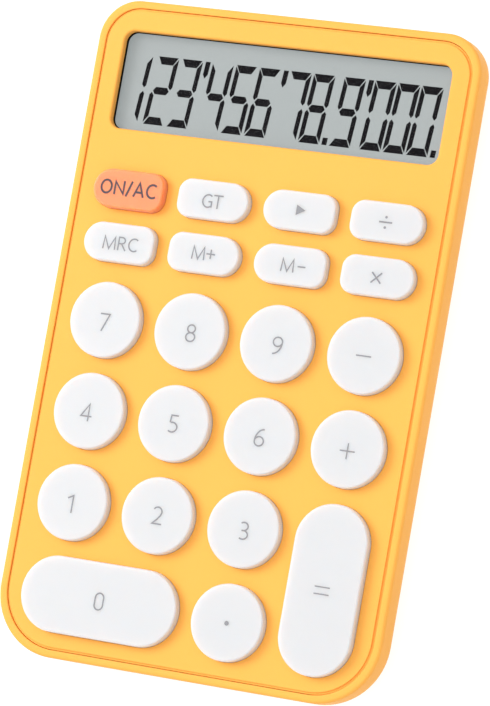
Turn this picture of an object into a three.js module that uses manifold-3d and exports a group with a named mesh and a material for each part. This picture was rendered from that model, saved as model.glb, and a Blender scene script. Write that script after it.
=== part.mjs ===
// A slim twelve-digit desk calculator: a shallow rear case with a rim, a face plate set into the rim,
// a recessed liquid crystal display and 22 key caps on a silicone mat over a printed circuit board.
// Millimetres. +X is right, +Y points away from the user (display end), +Z is up, and the feet rest on z = 0.
import * as THREE from 'three';
import { mergeVertices } from 'three/addons/utils/BufferGeometryUtils.js';
import Module from 'manifold-3d';

const wasm = await Module();
wasm.setup();

// ---------- driving dimensions ----------
const CASE = { halfX: 46.55, halfY: 74.72, rTop: 9.2, rBottom: 14.8, thickness: 10.0 };
const FOOT = { radius: 4.0, height: 0.8, sunk: 0.45, x: 33, y: 60 };
const Z_BOTTOM = FOOT.height;                       // underside of the rear case
const Z_FACE = Z_BOTTOM + CASE.thickness;           // upper face of the plate and of the rim
const EDGE = { top: 1.2, bottom: 4.5, bottomRise: 6.0, plate: 0.6, cap: 0.4 };   // edge roundings
const GROOVE = { halfX: 44.62, halfY: 72.9, rTop: 7.9, rBottom: 13.4, gap: 0.24 };
const FLOOR = 1.6;                                  // thickness of the case floor
const Z_FLOOR = Z_BOTTOM + FLOOR;
const LEDGE = 1.2;                                  // shelf in the case that carries the plate
const PLATE = 2.0;                                  // thickness of the face plate
const Z_PLATE = Z_FACE - PLATE;                     // underside of the face plate
const FIT = 0.05;                                   // clearance between stacked pieces

const PITCH = { x: 21, y: 20.73 };
const COLUMNS = [-1.5, -0.5, 0.5, 1.5].map((n) => n * PITCH.x);
const ROW_TOP = 1.69;                               // y of the row of 7 8 9
const ROWS = [0, 1, 2, 3].map((n) => ROW_TOP - n * PITCH.y);
const PILL_ROWS = [31.36, 19.21];
const KEY = { radius: 8.5, rise: 2.2, gap: 0.27, flange: 0.8, flangeThickness: 0.8, underside: 2.9 };
const PILL = { halfX: 8.55, halfY: 4.3, round: 4.3, corner: 3.0 };
const WINDOW = { halfX: 40.0, y0: 45.27, y1: 67.7, r: 2.5 };

const BOARD = { halfX: 42.8, y0: -71.0, y1: 44.4, z0: 4.6, thickness: 1.0 };
const Z_BOARD = BOARD.z0 + BOARD.thickness;         // upper face of the circuit board
const MAT = { halfX: 42.3, y0: -70.5, y1: 36.2, thickness: 0.6, domeLow: 3.4, domeHigh: 2.4 };
const LENS = { halfX: 41.6, y0: 43.9, y1: 69.3, r: 3.0, z0: 7.7, thickness: 0.8 };
const GLASS = { halfX: 41.0, y0: 41.9, ledge: 2.7, y1: 69.2, z0: 6.5, sheet: 0.55 };
const CARRIER = { halfX: 42.6, y0: 45.6, y1: 71.0, z0: 5.7, plate: 0.7, lip: 1.3, top: 7.5 };

const CASE_SCREWS = [[-30, 39.3], [30, 39.3], [-21, -8.7], [21, -8.7], [0, -50.1]];
const BOARD_SCREWS = [[-21, 12.2], [21, 12.2], [-21, -29.4], [21, -29.4]];
const BOSS = { radius: 2.2, z0: 4.0, pilot: 1.0, clearance: 2.6 };
const POST = { radius: 1.6, z0: Z_BOARD + FIT + MAT.thickness + FIT, pilot: 0.85, clearance: 0.95 };
const PILOT_TOP = 8.2;                              // blind end of the screw pilots in the face plate
const STANDOFF = { radius: 3.0, headHole: 2.2, headSeat: 2.6, shaftHole: 1.15 };   // in the case, per screw
const CASE_SCREW = { headRadius: 1.9, headHeight: 1.2, shaftRadius: 0.9, length: 5.0, z0: 1.35 };
const BOARD_SCREW = { headRadius: 1.5, headHeight: 0.8, shaftRadius: 0.75, length: 3.2 };
const CELL = { x: 0, y: 55, radius: 10, thickness: 2.5, z0: 2.75 };
const WELL = { inner: 13.4, outer: 14.4, top: 5.2, opensBelow: 50.2, half: 15 };   // wall round the cell
const DOOR = {
  radius: 11.5,
  flange: 13.8,
  flangeThickness: 0.6,
  top: 2.35,
  ring: { outer: 11.3, inner: 10.4, top: 3.1 },
  tab: { reach: 13.0, inner: 10.9, angle: 24 },
  turn: 40,
  slotHalf: { x: 6, y: 0.9 },
  slotDepth: 0.8,
};
const ROOM = { foot: 0.15, door: 0.3, doorFace: 0.15, tabAngle: 5, tabReach: 0.3, tabHeight: 0.5 };
const CLEAR = 1;                                    // how far a cutter runs past what it cuts

// ---------- solids ----------
function toSolid(geometry) {
  const bare = geometry.clone();
  bare.deleteAttribute('normal');
  bare.deleteAttribute('uv');
  const merged = mergeVertices(bare, 1e-4);
  const index = merged.index.array;
  const triangles = [];
  for (let i = 0; i < index.length; i += 3) {
    const [a, b, c] = [index[i], index[i + 1], index[i + 2]];
    if (a !== b && b !== c && a !== c) triangles.push(a, b, c);
  }
  const vertProperties = new Float32Array(merged.attributes.position.array);
  const mesh = new wasm.Mesh({ numProp: 3, vertProperties, triVerts: new Uint32Array(triangles) });
  return new wasm.Manifold(mesh);
}

function toGeometry(solid) {
  const mesh = solid.getMesh();
  const geometry = new THREE.BufferGeometry();
  geometry.setAttribute('position', new THREE.BufferAttribute(mesh.vertProperties, 3));
  geometry.setIndex(new THREE.BufferAttribute(mesh.triVerts, 1));
  geometry.computeVertexNormals();
  return geometry;
}

// A rounded outline with its own corner radius at each end. Growing it moves every side outwards.
function outline({ x0, x1, y0, y1, radii, grow = 0 }) {
  const [a, b, c, d] = [x0 - grow, x1 + grow, y0 - grow, y1 + grow];
  const [leftLow, rightLow, rightHigh, leftHigh] = radii.map((r) => Math.max(r + grow, 0.05));
  const shape = new THREE.Shape();
  shape.absarc(a + leftLow, c + leftLow, leftLow, Math.PI, 1.5 * Math.PI);
  shape.absarc(b - rightLow, c + rightLow, rightLow, 1.5 * Math.PI, 2 * Math.PI);
  shape.absarc(b - rightHigh, d - rightHigh, rightHigh, 0, 0.5 * Math.PI);
  shape.absarc(a + leftHigh, d - leftHigh, leftHigh, 0.5 * Math.PI, Math.PI);
  shape.closePath();
  return shape;
}

function boxOutline(halfX, y0, y1, r) {
  return { x0: -halfX, x1: halfX, y0, y1, radii: [r, r, r, r] };
}

// An outline raised into a slab from z0 to z1. With edge > 0 both faces get a rounded edge, which reaches
// edge inwards and edgeRise up the side.
function slab(form, z0, z1, { grow = 0, edge = 0, edgeRise = edge, edgeSteps = 1, arcSteps = 3 } = {}) {
  const shape = outline({ ...form, grow: grow - edge });
  const settings = { depth: z1 - z0 - 2 * edgeRise, curveSegments: arcSteps, bevelEnabled: edge > 0 };
  if (edge > 0) {
    Object.assign(settings, { bevelThickness: edgeRise, bevelSize: edge, bevelSegments: edgeSteps });
  }
  const geometry = new THREE.ExtrudeGeometry(shape, settings);
  geometry.translate(0, 0, z0 + edgeRise);
  return toSolid(geometry);
}

function rod(x, y, radius, z0, z1, sides = 16, topRadius = radius) {
  const geometry = new THREE.CylinderGeometry(topRadius, radius, z1 - z0, sides);
  geometry.rotateX(Math.PI / 2);
  geometry.translate(x, y, (z0 + z1) / 2);
  return toSolid(geometry);
}

function block(x0, x1, y0, y1, z0, z1) {
  const geometry = new THREE.BoxGeometry(x1 - x0, y1 - y0, z1 - z0);
  geometry.translate((x0 + x1) / 2, (y0 + y1) / 2, (z0 + z1) / 2);
  return toSolid(geometry);
}

const joinAll = (solids) => solids.reduce((whole, solid) => whole.add(solid));
const cutAll = (solid, cutters) => cutters.reduce((rest, cutter) => rest.subtract(cutter), solid);

// ---------- materials ----------
function plastic(color, roughness = 0.45) {
  return new THREE.MeshStandardMaterial({ color, roughness, metalness: 0 });
}

function metal(color, roughness = 0.3) {
  return new THREE.MeshStandardMaterial({ color, roughness, metalness: 1 });
}

const YELLOW = '#ffcf6e';
const MATERIALS = {
  shell: plastic(YELLOW, 0.42),
  whiteCap: plastic('#f4f4f6', 0.35),
  orangeCap: plastic('#ffa276', 0.35),
  foam: plastic('#26201d', 0.9),
  lens: new THREE.MeshStandardMaterial({
    color: '#dfe6e6',
    roughness: 0.05,
    transparent: true,
    opacity: 0.3,
  }),
  lcd: plastic('#b4baba', 0.25),
  carrier: plastic('#e9e7e0', 0.5),
  zebra: plastic('#d9a6a0', 0.7),
  silicone: plastic('#d6d8d6', 0.7),
  board: plastic('#3f7d4e', 0.5),
  resin: plastic('#17181a', 0.4),
  ceramic: plastic('#b79a6c', 0.5),
  steel: metal('#b9bcc0', 0.3),
  cell: metal('#cfd1d3', 0.25),
  spring: metal('#d3c9a6', 0.3),
  rubber: plastic('#3a3a3c', 0.85),
  redLead: plastic('#c0282a', 0.5),
  blackLead: plastic('#1b1b1c', 0.5),
};

const calculator = new THREE.Group();

function place(name, geometry, material, position = [0, 0, 0]) {
  const mesh = new THREE.Mesh(geometry, material);
  mesh.name = name;
  mesh.position.set(...position);
  calculator.add(mesh);
}

// ---------- housing ----------
const caseForm = {
  x0: -CASE.halfX,
  x1: CASE.halfX,
  y0: -CASE.halfY,
  y1: CASE.halfY,
  radii: [CASE.rBottom, CASE.rBottom, CASE.rTop, CASE.rTop],
};
const grooveForm = {
  x0: -GROOVE.halfX,
  x1: GROOVE.halfX,
  y0: -GROOVE.halfY,
  y1: GROOVE.halfY,
  radii: [GROOVE.rBottom, GROOVE.rBottom, GROOVE.rTop, GROOVE.rTop],
};
const windowForm = boxOutline(WINDOW.halfX, WINDOW.y0, WINDOW.y1, WINDOW.r);

function sector(radius, startDeg, sweepDeg, z0, z1) {
  const shape = new THREE.Shape();
  const start = THREE.MathUtils.degToRad(startDeg - sweepDeg / 2);
  const end = THREE.MathUtils.degToRad(startDeg + sweepDeg / 2);
  shape.moveTo(0, 0);
  shape.lineTo(radius * Math.cos(start), radius * Math.sin(start));
  shape.absarc(0, 0, radius, start, end);
  shape.closePath();
  const settings = { depth: z1 - z0, curveSegments: 2, bevelEnabled: false };
  const geometry = new THREE.ExtrudeGeometry(shape, settings);
  geometry.translate(CELL.x, CELL.y, z0);
  return toSolid(geometry);
}

function rearCase() {
  const lower = { edge: EDGE.bottom, edgeRise: EDGE.bottomRise, edgeSteps: 4 };
  const lowerForm = slab(caseForm, Z_BOTTOM, Z_FACE + 2 * EDGE.bottomRise, lower);
  const upperForm = slab(caseForm, Z_BOTTOM - CASE.thickness / 2, Z_FACE, { edge: EDGE.top, edgeSteps: 2 });
  const pocket = slab(grooveForm, Z_PLATE - FIT, Z_FACE + CLEAR, { grow: GROOVE.gap / 2 });
  const cavity = slab(grooveForm, Z_FLOOR, Z_FACE, { grow: -LEDGE });
  const shell = cutAll(lowerForm.intersect(upperForm), [pocket, cavity]);

  const { x, y } = CELL;
  const rooted = Z_FLOOR - 2 * FIT;                 // walls and standoffs start inside the floor
  const wellWall = rod(x, y, WELL.outer, rooted, WELL.top, 20)
    .subtract(rod(x, y, WELL.inner, 0, WELL.top + CLEAR, 20))
    .subtract(block(-WELL.half, WELL.half, y - WELL.half, WELL.opensBelow, Z_FLOOR + FIT, Z_PLATE));
  const standoffs = CASE_SCREWS.map(([sx, sy]) => (
    rod(sx, sy, STANDOFF.radius, rooted, BOSS.z0 - 2 * FIT, 12)
  ));
  const screwHoles = CASE_SCREWS.flatMap(([sx, sy]) => [
    rod(sx, sy, STANDOFF.headHole, 0, STANDOFF.headSeat, 12),
    rod(sx, sy, STANDOFF.shaftHole, 0, BOSS.z0 + CLEAR, 8),
  ]);
  const footHoles = footCentres().map(([fx, fy]) => (
    rod(fx, fy, FOOT.radius + ROOM.foot, 0, Z_BOTTOM + FOOT.sunk, 20)
  ));
  const { reach, angle: tabAngle } = DOOR.tab;
  const tabHole = (angle) => (
    sector(reach + ROOM.tabReach, angle, tabAngle + ROOM.tabAngle, 0, Z_FLOOR + ROOM.tabHeight)
  );
  const doorHoles = [
    rod(x, y, DOOR.flange + ROOM.door, 0, Z_BOTTOM + DOOR.flangeThickness + ROOM.doorFace, 28),
    rod(x, y, DOOR.radius + ROOM.door, 0, WELL.top, 28),
    tabHole(DOOR.turn),
    tabHole(DOOR.turn + 180),
  ];
  return cutAll(joinAll([shell, wellWall, ...standoffs]), [...screwHoles, ...footHoles, ...doorHoles]);
}

function footCentres() {
  return [[-1, 1], [1, 1], [1, -1], [-1, -1]].map(([sx, sy]) => [sx * FOOT.x, sy * FOOT.y]);
}

// ---------- keys ----------
// Each key: name, centre, and either a round cap or an outline of its own. The caps come in mirrored pairs
// in the two upper rows: one end fully round, the other with smaller corners.
function pillForm(roundLeft) {
  const left = roundLeft ? PILL.round : PILL.corner;
  const right = roundLeft ? PILL.corner : PILL.round;
  const { halfX, halfY } = PILL;
  return { x0: -halfX, x1: halfX, y0: -halfY, y1: halfY, radii: [left, right, right, left] };
}

function stadiumForm(spanX, spanY) {
  const [halfX, halfY] = [KEY.radius + spanX / 2, KEY.radius + spanY / 2];
  return boxOutline(halfX, -halfY, halfY, KEY.radius);
}

const PILL_NAMES = [
  ['key_on_clear', 'key_grand_total', 'key_play', 'key_divide'],
  ['key_memory_recall', 'key_memory_plus', 'key_memory_minus', 'key_multiply'],
];
const ROUND_NAMES = [
  ['key_7', 'key_8', 'key_9', 'key_minus'],
  ['key_4', 'key_5', 'key_6', 'key_plus'],
  ['key_1', 'key_2', 'key_3'],
];

const keys = [];
PILL_NAMES.forEach((names, row) => names.forEach((name, column) => {
  keys.push({ name, x: COLUMNS[column], y: PILL_ROWS[row], form: pillForm(column % 2 === 0) });
}));
ROUND_NAMES.forEach((names, row) => names.forEach((name, column) => {
  keys.push({ name, x: COLUMNS[column], y: ROWS[row] });
}));
keys.push({ name: 'key_point', x: COLUMNS[2], y: ROWS[3] });
keys.push({ name: 'key_0', x: (COLUMNS[0] + COLUMNS[1]) / 2, y: ROWS[3], form: stadiumForm(PITCH.x, 0) });
keys.push({ name: 'key_equals', x: COLUMNS[3], y: (ROWS[2] + ROWS[3]) / 2, form: stadiumForm(0, PITCH.y) });

// Key caps are drawn with z = 0 at the plate's upper face.
function roundCap() {
  const flange = KEY.radius + KEY.flange;
  const flangeTop = -KEY.underside + KEY.flangeThickness;
  const profile = [
    [0, -KEY.underside],
    [flange, -KEY.underside],
    [flange, flangeTop],
    [KEY.radius, flangeTop],
    [KEY.radius, KEY.rise - EDGE.cap],
    [KEY.radius - EDGE.cap, KEY.rise],
    [0, KEY.rise],
  ].map(([r, z]) => new THREE.Vector2(r, z));
  const geometry = new THREE.LatheGeometry(profile, 24);
  geometry.rotateX(Math.PI / 2);
  return geometry;
}

function shapedCap(form) {
  const flangeTop = -KEY.underside + KEY.flangeThickness;
  const cap = slab(form, -KEY.underside, KEY.rise, { edge: EDGE.cap, arcSteps: 2 });
  const flange = slab(form, -KEY.underside, flangeTop, { grow: KEY.flange, arcSteps: 2 });
  return toGeometry(cap.add(flange));
}

function keyHole({ x, y, form }) {
  const [z0, z1] = [Z_PLATE - CLEAR, Z_FACE + CLEAR];
  if (!form) return rod(x, y, KEY.radius + KEY.gap, z0, z1, 24);
  return slab(form, z0, z1, { grow: KEY.gap, arcSteps: 2 }).translate([x, y, 0]);
}

// ---------- face plate ----------
function facePlate() {
  const sheet = slab(grooveForm, Z_PLATE, Z_FACE, {
    grow: -GROOVE.gap / 2,
    edge: EDGE.plate,
    edgeSteps: 2,
  });
  const windowHole = slab(windowForm, Z_PLATE - CLEAR, Z_FACE + CLEAR, { arcSteps: 2 });
  const open = cutAll(sheet, [windowHole, ...keys.map(keyHole)]);
  const rooted = Z_PLATE + 0.5;                     // bosses and posts end inside the plate
  const bosses = CASE_SCREWS.map(([x, y]) => rod(x, y, BOSS.radius, BOSS.z0, rooted, 12));
  const posts = BOARD_SCREWS.map(([x, y]) => rod(x, y, POST.radius, POST.z0, rooted, 10));
  const pilots = [
    ...CASE_SCREWS.map(([x, y]) => rod(x, y, BOSS.pilot, BOSS.z0 - CLEAR, PILOT_TOP, 8)),
    ...BOARD_SCREWS.map(([x, y]) => rod(x, y, POST.pilot, POST.z0 - CLEAR, PILOT_TOP, 8)),
  ];
  return cutAll(joinAll([open, ...bosses, ...posts]), pilots);
}

// ---------- display ----------
function gasket() {
  const [gap, inset] = [0.03, 0.15];                // the foam shows just inside the window's edge
  const z0 = LENS.z0 + LENS.thickness + gap;
  const z1 = Z_PLATE - gap;
  const outer = slab(boxOutline(LENS.halfX, LENS.y0, LENS.y1, LENS.r), z0, z1, { arcSteps: 2 });
  return outer.subtract(slab(windowForm, z0 - CLEAR, z1 + CLEAR, { grow: -inset, arcSteps: 2 }));
}

function lens() {
  const { halfX, y0, y1, r, z0, thickness } = LENS;
  return slab(boxOutline(halfX, y0, y1, r), z0, z0 + thickness, { arcSteps: 2 });
}

function lcdPanel() {
  const { halfX, y0, y1, ledge, z0, sheet } = GLASS;
  const rear = block(-halfX, halfX, y0 + ledge, y1, z0, z0 + sheet);
  const front = block(-halfX, halfX, y0, y1, z0 + sheet, z0 + 2 * sheet);
  return rear.add(front);
}

function lcdCarrier() {
  const { halfX, y0, y1, z0, plate, lip, top } = CARRIER;
  const form = { x0: -halfX, x1: halfX, y0, y1, radii: [0.5, 0.5, 5.5, 5.5] };
  const tray = slab(form, z0, top);
  return tray.subtract(block(-halfX + lip, halfX - lip, y0 - CLEAR, y1 - lip, z0 + plate, top + CLEAR));
}

// ---------- keypad mat and circuit board ----------
function holesFor(z0, z1) {
  return [
    ...CASE_SCREWS.map(([x, y]) => rod(x, y, BOSS.clearance, z0, z1, 10)),
    ...BOARD_SCREWS.map(([x, y]) => rod(x, y, POST.clearance, z0, z1, 8)),
  ];
}

function domeCentres() {
  return keys.flatMap(({ name, x, y }) => {
    if (name === 'key_0') return [[COLUMNS[0], y], [COLUMNS[1], y]];
    if (name === 'key_equals') return [[x, ROWS[2]], [x, ROWS[3]]];
    return [[x, y]];
  });
}

function keypadMat() {
  const z0 = Z_BOARD + FIT;
  const z1 = z0 + MAT.thickness;
  const zDome = Z_FACE - KEY.underside - FIT;
  const form = { x0: -MAT.halfX, x1: MAT.halfX, y0: MAT.y0, y1: MAT.y1, radii: [10.5, 10.5, 1, 1] };
  const base = cutAll(slab(form, z0, z1, { arcSteps: 2 }), holesFor(z0 - CLEAR, z1 + CLEAR));
  const domes = domeCentres().map(([x, y]) => rod(x, y, MAT.domeLow, z1 - 2 * FIT, zDome, 8, MAT.domeHigh));
  return joinAll([base, ...domes]);
}

function circuitBoard() {
  const { halfX, y0, y1, z0 } = BOARD;
  const form = { x0: -halfX, x1: halfX, y0, y1, radii: [11, 11, 1, 1] };
  return cutAll(slab(form, z0, Z_BOARD, { arcSteps: 2 }), holesFor(z0 - CLEAR, Z_BOARD + CLEAR));
}

// Turned pieces are drawn with z = 0 at their own lower end.
function turned(profile, sides) {
  const points = profile.map(([r, z]) => new THREE.Vector2(r, z));
  const geometry = new THREE.LatheGeometry(points, sides);
  geometry.rotateX(Math.PI / 2);
  return geometry;
}

function screw({ headRadius, headHeight, shaftRadius, length }) {
  const body = toSolid(turned([
    [0, 0],
    [headRadius * 0.8, 0],
    [headRadius, headHeight * 0.35],
    [headRadius, headHeight],
    [shaftRadius, headHeight],
    [shaftRadius, headHeight + length - shaftRadius],
    [0, headHeight + length],
  ], 10));
  const [reach, half, deep] = [headRadius * 0.6, headRadius * 0.13, headHeight * 0.5];
  const cross = [
    block(-reach, reach, -half, half, -CLEAR, deep),
    block(-half, half, -reach, reach, -CLEAR, deep),
  ];
  return toGeometry(cutAll(body, cross));
}

// ---------- battery bay ----------
function batteryDoor() {
  const z0 = Z_BOTTOM + FIT;
  const { x, y } = CELL;
  const { ring, tab, slotHalf, slotDepth } = DOOR;
  const disc = rod(x, y, DOOR.radius, z0, DOOR.top, 28);
  const flange = rod(x, y, DOOR.flange, z0, z0 + DOOR.flangeThickness, 28);
  const wall = rod(x, y, ring.outer, DOOR.top - 2 * FIT, ring.top, 28)
    .subtract(rod(x, y, ring.inner, 0, ring.top + CLEAR, 28));
  const tabs = [0, 180].map((angle) => (
    sector(tab.reach, angle, tab.angle, Z_FLOOR + 2 * FIT, ring.top)
      .subtract(rod(x, y, tab.inner, 0, ring.top + CLEAR, 28))
  ));
  const coinSlot = block(x - slotHalf.x, x + slotHalf.x, y - slotHalf.y, y + slotHalf.y, 0, z0 + slotDepth);
  return joinAll([disc, flange, wall, ...tabs]).subtract(coinSlot);
}

function coinCell() {
  const { radius, thickness } = CELL;
  return turned([
    [0, 0],
    [radius - 0.3, 0],
    [radius, 0.3],
    [radius, thickness - 0.5],
    [radius - 0.9, thickness - 0.5],
    [radius - 1.2, thickness],
    [0, thickness],
  ], 24);
}

function flatStrip(points, z0, z1) {
  const shape = new THREE.Shape(points.map(([x, y]) => new THREE.Vector2(x, y)));
  const geometry = new THREE.ExtrudeGeometry(shape, { depth: z1 - z0, bevelEnabled: false });
  geometry.translate(0, 0, z0);
  return geometry;
}

function lead(points) {
  const path = new THREE.CatmullRomCurve3(points.map(([x, y, z]) => new THREE.Vector3(x, y, z)));
  const section = new THREE.Shape().absarc(0, 0, 0.4, 0, 2 * Math.PI);
  const settings = { steps: 7, curveSegments: 4, bevelEnabled: false, extrudePath: path };
  return new THREE.ExtrudeGeometry(section, settings);
}

// ---------- assembly ----------
place('rear_case', toGeometry(rearCase()), MATERIALS.shell);
place('face_plate', toGeometry(facePlate()), MATERIALS.shell);
place('display_gasket', toGeometry(gasket()), MATERIALS.foam);
place('display_lens', toGeometry(lens()), MATERIALS.lens);
place('lcd_panel', toGeometry(lcdPanel()), MATERIALS.lcd);
place('lcd_carrier', toGeometry(lcdCarrier()), MATERIALS.carrier);
place('contact_strip', new THREE.BoxGeometry(76, 2, 1.35), MATERIALS.zebra, [0, 43.2, 6.33]);
place('keypad_mat', toGeometry(keypadMat()), MATERIALS.silicone);
place('circuit_board', toGeometry(circuitBoard()), MATERIALS.board);

const roundCapGeometry = roundCap();
for (const { name, x, y, form } of keys) {
  const material = name === 'key_on_clear' ? MATERIALS.orangeCap : MATERIALS.whiteCap;
  place(name, form ? shapedCap(form) : roundCapGeometry, material, [x, y, Z_FACE]);
}

const chip = turned([[0, -1.1], [2.6, -0.95], [4.8, -0.5], [6, 0], [0, 0]], 20);
place('chip_blob', chip, MATERIALS.resin, [-12, 25, BOARD.z0 - FIT]);
place('filter_capacitor', new THREE.BoxGeometry(3.2, 1.6, 1.2), MATERIALS.ceramic, [8, 28, BOARD.z0 - 0.65]);
place('clock_resistor', new THREE.BoxGeometry(3.2, 1.6, 0.6), MATERIALS.resin, [8, 22, BOARD.z0 - 0.35]);

const caseScrew = screw(CASE_SCREW);
CASE_SCREWS.forEach(([x, y], i) => {
  place(`case_screw_${i + 1}`, caseScrew, MATERIALS.steel, [x, y, CASE_SCREW.z0]);
});
const boardScrew = screw(BOARD_SCREW);
BOARD_SCREWS.forEach(([x, y], i) => {
  place(`board_screw_${i + 1}`, boardScrew, MATERIALS.steel, [x, y, BOARD.z0 - FIT - BOARD_SCREW.headHeight]);
});

place('battery_door', toGeometry(batteryDoor()), MATERIALS.shell);
place('coin_cell', coinCell(), MATERIALS.cell, [CELL.x, CELL.y, CELL.z0]);
const plusStrip = [
  [-10.2, 58],
  [-10.45, 58],
  [-10.45, 51],
  [-11.45, 46],
  [-15, 46],
  [-15, 45.7],
  [-11.2, 45.7],
  [-10.2, 51],
];
place('positive_contact', flatStrip(plusStrip, 3.3, 5.2), MATERIALS.spring);
const minusStrip = [[-2.5, 45.8], [8, 45.8], [8, 47.8], [2.5, 47.8], [2.5, 61], [-2.5, 61]];
place('negative_contact', flatStrip(minusStrip, 5.35, 5.6), MATERIALS.spring);
const redRoute = [[-14, 45.2, 4.1], [-14.5, 43.6, 3.9], [-16.5, 42, 3.9], [-18.5, 40.5, 4.1]];
const blackRoute = [[6.5, 46.8, 4.85], [7.2, 45.6, 4.2], [9, 43.6, 3.9], [12, 41, 4.1]];
place('red_lead', lead(redRoute), MATERIALS.redLead);
place('black_lead', lead(blackRoute), MATERIALS.blackLead);

const footTop = Z_BOTTOM + FOOT.sunk - FIT;
const foot = turned([[0, 0], [3.6, 0], [FOOT.radius, 0.3], [FOOT.radius, footTop], [0, footTop]], 20);
footCentres().forEach(([x, y], i) => place(`foot_${i + 1}`, foot, MATERIALS.rubber, [x, y, 0]));

export default calculator;
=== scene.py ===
"""Looks of the desk calculator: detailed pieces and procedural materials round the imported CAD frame.

Lengths in the builders are millimetres in the row frame; Builder.piece() turns them into metres.
Profiles are lists of (grow, z): how far the outline grows outwards, and the height.
"""

import math

import bmesh
import bpy
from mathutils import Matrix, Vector
from mathutils.geometry import delaunay_2d_cdt


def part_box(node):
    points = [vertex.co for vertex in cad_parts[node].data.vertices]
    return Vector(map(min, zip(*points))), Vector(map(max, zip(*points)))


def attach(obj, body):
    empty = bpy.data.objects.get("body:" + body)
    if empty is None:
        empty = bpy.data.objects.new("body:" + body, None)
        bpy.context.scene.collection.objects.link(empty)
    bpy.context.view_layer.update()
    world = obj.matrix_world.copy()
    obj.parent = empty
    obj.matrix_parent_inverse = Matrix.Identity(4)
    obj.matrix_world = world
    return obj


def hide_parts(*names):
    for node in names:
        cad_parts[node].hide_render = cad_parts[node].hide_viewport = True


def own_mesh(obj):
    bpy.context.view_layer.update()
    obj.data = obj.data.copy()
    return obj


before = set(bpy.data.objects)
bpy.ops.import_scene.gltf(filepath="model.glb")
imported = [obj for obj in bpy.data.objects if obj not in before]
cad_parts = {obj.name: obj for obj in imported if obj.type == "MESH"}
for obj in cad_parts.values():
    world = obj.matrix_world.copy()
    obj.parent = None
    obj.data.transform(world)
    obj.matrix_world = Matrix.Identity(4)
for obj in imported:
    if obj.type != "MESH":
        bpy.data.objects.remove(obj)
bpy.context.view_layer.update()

MM = 0.001
SHARP = math.radians(32)          # edges with a larger angle than this stay crisp

# ---------- dimensions shared with the CAD source ----------
CASE = dict(half_x=46.55, half_y=74.72, top=9.2, bottom=14.8)      # half sizes and corner radii
GROOVE = dict(half_x=44.62, half_y=72.9, top=7.9, bottom=13.4)
Z_BOTTOM, Z_FACE, Z_FLOOR, Z_PLATE = 0.8, 10.8, 2.4, 8.8           # Z_PLATE is the plate's underside
LEDGE = 1.2                       # how far the wall steps inwards under the plate
KEYS = [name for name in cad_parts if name.startswith("key_")]
KEY_RADIUS, KEY_FLANGE = 8.5, 0.8
KEY_UNDERSIDE, KEY_FLANGE_TOP = Z_FACE - 2.9, Z_FACE - 2.1
KEY_PITCH_X, KEY_PITCH_Y = 21.0, 20.73
PILL = dict(half_x=8.55, half_y=4.3, round=4.3, corner=3.0)
PILLS_ROUND_LEFT = {"key_on_clear", "key_play", "key_memory_recall", "key_memory_minus"}
WINDOW = (-40, 40, 45.27, 67.7, 2.5)                               # x0, x1, y0, y1, corner radius
GASKET = (-41.6, 41.6, 43.9, 69.3, 3.0)
GASKET_Z0, GASKET_Z1 = 8.53, 8.77
CASE_SCREWS = [(-30, 39.3), (30, 39.3), (-21, -8.7), (21, -8.7), (0, -50.1)]
BOARD_SCREWS = [(-21, 12.2), (21, 12.2), (-21, -29.4), (21, -29.4)]
BOSS = dict(radius=2.2, z0=4.0, bore=1.0, room=2.6)                # on the plate, for a case screw
POST = dict(radius=1.6, z0=6.3, bore=0.85, room=0.95)              # on the plate, for a board screw
PILOT_TOP = 8.2
SCREW_Z0 = 1.35
MAT = dict(half_x=42.3, y0=-70.5, y1=36.2, z0=5.65, z1=6.25, z_dome=7.85)
MAT_CORNERS = (10.5, 10.5, 1, 1)
FEET = [(-33, 60), (33, 60), (33, -60), (-33, -60)]
FOOT_RADIUS, FOOT_ROOM = 4.0, 0.15
CELL = (0, 55)
WELL_INNER, WELL_OUTER, WELL_TOP = 13.45, 14.4, 5.2
DOOR_FLANGE, DOOR_DISC, DOOR_TURN = 13.8, 11.5, 40
DOOR_Z0, DOOR_Z_FLANGE, DOOR_TOP, DOOR_RING_TOP = 0.85, 1.45, 2.35, 3.1
DOOR_SEAT = 1.55                  # face of the case that the door's flange lies under

# ---------- finish of the edges ----------
Z_CAP = 12.98                     # upper face of a cap
Z_INK = 13.0                      # upper face of its printed legend
INK_SUNK = 0.02                   # how far the legend reaches into the cap
CAP_EDGE, CAP_GROW, CAP_DRAFT = 0.42, 0.1, 0.03
CHAMFER = 0.15                    # on the hidden edges of caps and bosses
KEY_GAP = 0.13                    # round a key; the CAD leaves more room, for free motion
WINDOW_RIGHT = 39.85              # the plate hides the gasket's lip at the right end of the window
RIM_EDGE, RIM_INNER_EDGE = 0.8, 0.16
PLATE_EDGE, HOLE_EDGE, WINDOW_EDGE = 0.16, 0.14, 0.55
CHANNEL_DEPTH, CHANNEL_STEP = 0.45, 0.46  # the shallow channel round the plate, and the step in its edge
SEAM = 0.06                       # half the gap left between plate and rim in the channel's floor
SUPPORT = 0.25                    # flat ring inside a rounded edge, so that flat faces shade flat


# ---------- outlines ----------
def outline(x0, x1, y0, y1, radii, grow, steps=14):
    """Points of a rounded box, anticlockwise; radii start at the lower left corner."""
    corners = [
        (x0 - grow, y0 - grow, 1, 1, 180),
        (x1 + grow, y0 - grow, -1, 1, 270),
        (x1 + grow, y1 + grow, -1, -1, 0),
        (x0 - grow, y1 + grow, 1, -1, 90),
    ]
    points = []
    for (cx, cy, sx, sy, start), radius in zip(corners, radii):
        r = max(radius + grow, 0.02)
        for i in range(steps + 1):
            a = math.radians(start + 90 * i / steps)
            p = (cx + sx * r + r * math.cos(a), cy + sy * r + r * math.sin(a))
            if not points or math.dist(p, points[-1]) > 1e-4:
                points.append(p)
    if math.dist(points[0], points[-1]) < 1e-4:
        points.pop()
    return points


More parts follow.
